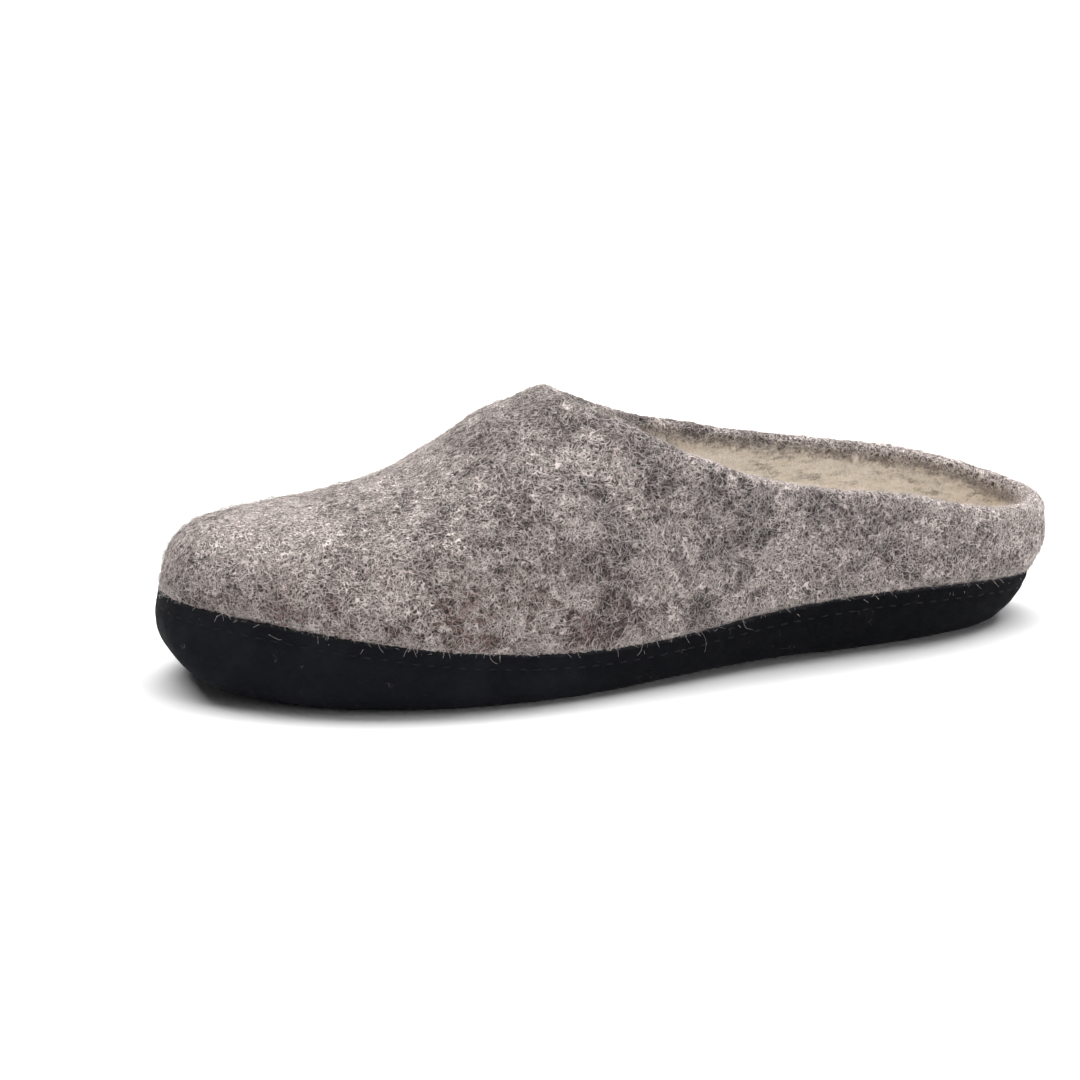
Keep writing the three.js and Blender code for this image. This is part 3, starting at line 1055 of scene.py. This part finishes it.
@dataclass
class Insole:
    """The loose insole of needled wool, trodden a little hollow."""

    grain: float = 1.9 * MM
    rounds: int = 8
    tread: float = 0.6 * MM
    heel_tread: tuple[float, float, float] = (24 * MM, -85 * MM, 30 * MM)
    ball_tread: tuple[float, float, float] = (34 * MM, 45 * MM, 35 * MM)
    fluff: float = 0.25 * MM
    piece: bpy.types.Object = field(init=False)

    def build(self) -> None:
        """Makes the mesh from the frame's solid and treads it in."""
        self.piece = fine_copy("insole", "wool_insole", self.grain)
        mesh = self.piece.data
        smoothed(mesh, self.rounds)
        places, normals = places_of(mesh), normals_of(mesh)
        upward = soft_step(normals[:, 2], 0.5, 0.9)
        hollow = np.zeros(len(places))
        for half_width, station, half_length in (self.heel_tread, self.ball_tread):
            aside, ahead = places[:, 0] / half_width, (places[:, 1] - station) / half_length
            hollow += np.exp(-(aside**2) - ahead**2)
        fluff = self.fluff * cloud_of(places, 7 * MM, 19.0)
        places[:, 2] += upward * (fluff - self.tread * hollow)
        move_to(mesh, places)
        mesh.shade_smooth()

    def dress(self, finish: bpy.types.Material) -> None:
        """Gives the insole its material and its place in the frame.

        Args:
            finish: The material.
        """
        self.piece.data.materials.append(finish)
        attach(self.piece, "root")
        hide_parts("insole")


class Lie(Enum):
    """How a loose hair lies: as a low loop, or with one end free."""

    LOOP = "loop"
    FREE = "free"


@dataclass
class HairCoat:
    """Loose wool hairs of one sort, curled over the felt."""

    name: str
    count: int
    seed: int
    lie: Lie
    length: tuple[float, float]
    lift: tuple[float, float]
    curl: float
    radius: float = 0.062 * MM
    points: int = 7
    lining_share: float = 0.0
    brink_share: float = 8.0
    brink_width: float = 2.0 * MM
    jitter: float = 0.25
    taper: float = 0.55
    spare: float = 1.6
    piece: bpy.types.Object = field(init=False)

    def build(self, body: FeltBody, sole: SuedeSole, cover: BVHTree, skin: BVHTree) -> None:
        """Grows the hairs.

        Args:
            body: The finished felt body.
            sole: The finished sole, along whose edge the hairs are denser.
            cover: The sole's surface, under which no hair starts.
            skin: The surfaces of body and sole together, on which the hairs lie.
        """
        draw = np.random.default_rng(self.seed)
        roots, ups = self.roots(body, sole, cover, draw)
        total = len(roots)
        helper = np.where(np.abs(ups[:, 2:]) > 0.8, [[1.0, 0, 0]], [[0, 0, 1.0]])
        first = np.cross(ups, helper)
        first /= np.linalg.norm(first, axis=1, keepdims=True)
        second = np.cross(ups, first)
        heading = draw.uniform(0, 2 * math.pi, total)
        bend = draw.normal(0, self.curl, total)
        length = draw.uniform(*self.length, total)
        lift = self.lift[0] + (self.lift[1] - self.lift[0]) * draw.random(total) ** 2.5
        step = length / (self.points - 1)
        path = np.empty((total, self.points, 3))
        spot = roots.copy()
        for i in range(self.points):
            share = i / (self.points - 1)
            rise = math.sin(math.pi * share) if self.lie is Lie.LOOP else share**1.4
            path[:, i] = spot + ups * (lift * rise - 0.02 * MM)[:, None]
            heading += bend * step + draw.normal(0, self.jitter, total)
            way = np.cos(heading)[:, None] * first + np.sin(heading)[:, None] * second
            spot = spot + way * step[:, None]
            if self.lie is Lie.LOOP or i < 2:
                for row in range(total):
                    place, normal, _, _ = skin.find_nearest(spot[row])
                    spot[row] = place
                    ups[row] = ups[row] * 0.4 + np.array(normal) * 0.6
                ups /= np.linalg.norm(ups, axis=1, keepdims=True)
        self.piece = self.tubes(path)

    def roots(
        self, body: FeltBody, sole: SuedeSole, cover: BVHTree, draw: np.random.Generator
    ) -> tuple[Points, Points]:
        """Chooses where the hairs start.

        Args:
            body: The finished felt body.
            sole: The finished sole.
            cover: The sole's surface.
            draw: The source of chance.

        Returns:
            The places and the surface's directions there.
        """
        mesh = body.piece.data
        mesh.calc_loop_triangles()
        corners = np.empty(len(mesh.loop_triangles) * 3, dtype=np.int64)
        mesh.loop_triangles.foreach_get("vertices", corners)
        corners = corners.reshape(-1, 3)
        places, normals = places_of(mesh), normals_of(mesh)
        lining = np.empty(len(places), dtype=np.float32)
        mesh.attributes["lining"].data.foreach_get("value", lining)
        a, b, c = (places[corners[:, i]] for i in range(3))
        area = np.linalg.norm(np.cross(b - a, c - a), axis=1)
        inside = lining[corners].mean(axis=1)
        weight = area * np.where(inside > 0.5, self.lining_share, 1.0)
        weight *= a[:, 2] > 9 * MM
        gaps = gaps_to(sole.edge, places)[corners[:, 0]]
        weight *= 1 + self.brink_share * np.exp(-((gaps / self.brink_width) ** 2))
        picks = draw.choice(len(corners), size=int(self.count * self.spare), p=weight / weight.sum())
        u, v = draw.random((2, len(picks)))
        u, v = np.where(u + v > 1, 1 - u, u), np.where(u + v > 1, 1 - v, v)
        blend = np.stack([1 - u - v, u, v], axis=1)
        spots = np.einsum("ij,ijk->ik", blend, places[corners[picks]])
        ups = np.einsum("ij,ijk->ik", blend, normals[corners[picks]])
        ups /= np.linalg.norm(ups, axis=1, keepdims=True)
        free = [
            row
            for row in range(len(spots))
            if cover.ray_cast(Vector(spots[row] + ups[row] * 0.1 * MM), Vector(ups[row]), 4 * MM)[0] is None
        ][: self.count]
        return spots[free], ups[free]

    def tubes(self, path: Points) -> bpy.types.Object:
        """Sweeps a small three-sided section along each hair.

        Args:
            path: The hairs' points, a row of points for each hair.

        Returns:
            One mesh object with all the hairs.
        """
        section = bpy.data.curves.new("hair_section", "CURVE")
        corner = section.splines.new("POLY")
        corner.points.add(2)
        turns = [2 * math.pi * i / 3 for i in range(3)]
        corner.points.foreach_set(
            "co", [value for turn in turns for value in (math.cos(turn), math.sin(turn), 0.0, 1.0)]
        )
        corner.use_cyclic_u = True
        profile = bpy.data.objects.new("hair_section", section)
        bpy.context.scene.collection.objects.link(profile)
        curve = bpy.data.curves.new(self.name, "CURVE")
        curve.dimensions = "3D"
        curve.bevel_mode = "OBJECT"
        curve.bevel_object = profile
        curve.use_fill_caps = True
        shares = np.linspace(0, 1, self.points)
        radii = self.radius * (1 - self.taper * shares**2)
        for hair in path:
            spline = curve.splines.new("POLY")
            spline.points.add(self.points - 1)
            spline.points.foreach_set("co", np.column_stack([hair, np.ones(self.points)]).ravel())
            spline.points.foreach_set("radius", radii)
        source = bpy.data.objects.new(self.name, curve)
        bpy.context.scene.collection.objects.link(source)
        mesh = baked(source)
        mesh.name = self.name
        for old in (source, profile):
            bpy.data.objects.remove(old)
        for old in (curve, section):
            bpy.data.curves.remove(old)
        mesh.shade_smooth()
        return add_object(self.name, mesh)

    def dress(self, finish: bpy.types.Material) -> None:
        """Gives the hairs their material and their place in the frame.

        Args:
            finish: The material.
        """
        self.piece.data.materials.clear()
        self.piece.data.materials.append(finish)
        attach(self.piece, "root")


@dataclass
class Studio:
    """A white table under soft light, seen at the photograph's angle."""

    azimuth: float = math.radians(-107.7)
    elevation: float = math.radians(16.2)
    distance: float = 1.3184
    lens: float = 148.87
    back_spread: float = math.radians(110)
    target: tuple[float, float, float] = (0.01566, 0.0168, 0.030)

    def build(self) -> None:
        """Makes floor, lights, world and camera."""
        self.add_floor()
        self.add_world()
        middle = (0.0, 0.0, 0.03)
        # A long softbox hangs over the slipper, a little behind it. Small ones reach the lining
        # and the near flank, and one behind whitens the table
        self.add_lamp("key_softbox", (0.32, -0.1, 1.2), middle, (2.3, 0.8), 43.0)
        self.add_lamp("top_softbox", (-0.45, -0.4, 1.1), middle, (0.7, 0.5), 3.0)
        self.add_lamp("front_fill", (-1.2, -0.8, 0.35), middle, (0.8, 0.8), 5.5)
        aside = (1.9, -0.7, 0.0)
        self.add_lamp("back_softbox", (1.3, -0.4, 1.6), aside, (1.2, 1.2), 110.0, self.back_spread)
        self.add_camera()

    def add_floor(self) -> None:
        """Makes the pale floor."""
        shape = bmesh.new()
        bmesh.ops.create_grid(shape, x_segments=1, y_segments=1, size=6.0)
        mesh = bpy.data.meshes.new("floor")
        shape.to_mesh(mesh)
        shape.free()
        floor = add_object("floor", mesh)
        pale, graph, place = new_material("white_table")
        cloud = graph.add("ShaderNodeTexNoise", {"Vector": place, "Scale": 3.0})
        graph.surface(
            {
                "Base Color": graph.mix(cloud.outputs["Fac"], tint("f4f4f5"), tint("f7f7f8")),
                "Roughness": 0.7,
                "Specular IOR Level": 0.1,
            }
        )
        mesh.materials.append(pale)

    def add_world(self) -> None:
        """Makes the even white surroundings."""
        world = bpy.data.worlds.new("studio")
        world.use_nodes = True
        graph = Graph(world.node_tree)
        light = graph.add("ShaderNodeBackground", {"Color": (1, 1, 1, 1), "Strength": 0.07})
        graph.add("ShaderNodeOutputWorld", {"Surface": light.outputs[0]})
        bpy.context.scene.world = world
        bpy.context.scene.view_settings.view_transform = "Standard"

    def add_lamp(
        self,
        name: str,
        place: tuple[float, float, float],
        aim: tuple[float, float, float],
        size: tuple[float, float],
        power: float,
        spread: float = math.pi,
    ) -> None:
        """Hangs a soft light.

        Args:
            name: The light's name.
            place: Where it hangs, in metres.
            aim: The point it faces.
            size: The lengths of its sides, the level one first, in metres.
            power: Its power in watts.
            spread: How wide it shines, as an angle.
        """
        light = bpy.data.lights.new(name, "AREA")
        light.shape = "RECTANGLE"
        light.size, light.size_y = size
        light.energy = power
        light.spread = spread
        lamp = bpy.data.objects.new(name, light)
        lamp.location = place
        lamp.rotation_euler = (Vector(aim) - Vector(place)).to_track_quat("-Z", "Y").to_euler()
        bpy.context.scene.collection.objects.link(lamp)

    def add_camera(self) -> None:
        """Sets the camera at the photograph's angle."""
        turn, rise = self.azimuth, self.elevation
        back = Vector(
            (math.sin(turn) * math.cos(rise), -math.cos(turn) * math.cos(rise), math.sin(rise))
        )
        optics = bpy.data.cameras.new("camera")
        optics.sensor_width = 36.0
        optics.lens = self.lens
        optics.clip_start = 0.05
        camera = bpy.data.objects.new("camera", optics)
        camera.location = Vector(self.target) + back * self.distance
        camera.rotation_euler = (-back).to_track_quat("-Z", "Y").to_euler()
        bpy.context.scene.collection.objects.link(camera)
        bpy.context.scene.camera = camera


PALE, WARM, DARK = "pale", "warm", "dark"
LONG, SHORT, SHORTEST = (3 * MM, 7 * MM), (1.5 * MM, 4 * MM), (1.5 * MM, 3.5 * MM)
HAIR_COATS = (
    (HairCoat("hairs_pale", 4100, 101, Lie.LOOP, LONG, (0.1 * MM, 1.1 * MM), 550.0), PALE),
    (HairCoat("hairs_warm", 4100, 102, Lie.LOOP, LONG, (0.1 * MM, 1.0 * MM), 500.0), WARM),
    (HairCoat("hairs_dark", 1200, 103, Lie.LOOP, LONG, (0.1 * MM, 0.6 * MM), 450.0), DARK),
    (HairCoat("fuzz_pale", 9400, 104, Lie.FREE, SHORT, (0.4 * MM, 2.8 * MM), 420.0, FUZZ, 4), PALE),
    (HairCoat("fuzz_warm", 9000, 106, Lie.FREE, SHORTEST, (0.2 * MM, 1.8 * MM), 420.0, FUZZ, 4), WARM),
    (HairCoat("hairs_stray", 240, 105, Lie.FREE, (6 * MM, 13 * MM), (1 * MM, 5 * MM), 220.0, FUZZ, 12), WARM),
)

HAIR_FINISHES = {
    PALE: HairFinish("pale_hair", "d6ccc8", "efe7e3"),
    WARM: HairFinish("warm_hair", "a0958f", "c6bcb8"),
    DARK: HairFinish("dark_hair", "2b2524", "4c4341"),
}


def report(piece: bpy.types.Object) -> None:
    """Logs a finished piece's name and size.

    Args:
        piece: The piece.
    """
    mesh = piece.data
    mesh.calc_loop_triangles()
    LOG.info("%s: %d triangles", piece.name, len(mesh.loop_triangles))


def main() -> None:
    """Builds the pieces in order, dresses them and sets the stage."""
    logging.basicConfig(level=logging.INFO, format="%(message)s")
    effects = Effects()

    body = FeltBody()
    body.build()
    body.dress(FeltFinish().material(effects))
    report(body.piece)

    sole = SuedeSole()
    sole.build()
    sole.dress(SuedeFinish().material(effects))
    report(sole.piece)

    stitches = StitchRow()
    stitches.build(sole)
    stitches.dress(HairFinish("sewing_thread", "101114", "18191c", 0.0).material(effects))
    report(stitches.piece)

    insole = Insole()
    insole.build()
    insole.dress(InsoleFinish().material(effects))
    report(insole.piece)

    cover, skin = surface_tree(sole.piece), surface_tree(body.piece, sole.piece)
    hairs = {name: finish.material(effects) for name, finish in HAIR_FINISHES.items()}
    for coat, finish in HAIR_COATS:
        coat.build(body, sole, cover, skin)
        coat.dress(hairs[finish])
        report(coat.piece)

    Studio().build()
    bpy.context.view_layer.update()


if __name__ == "__main__":
    main()
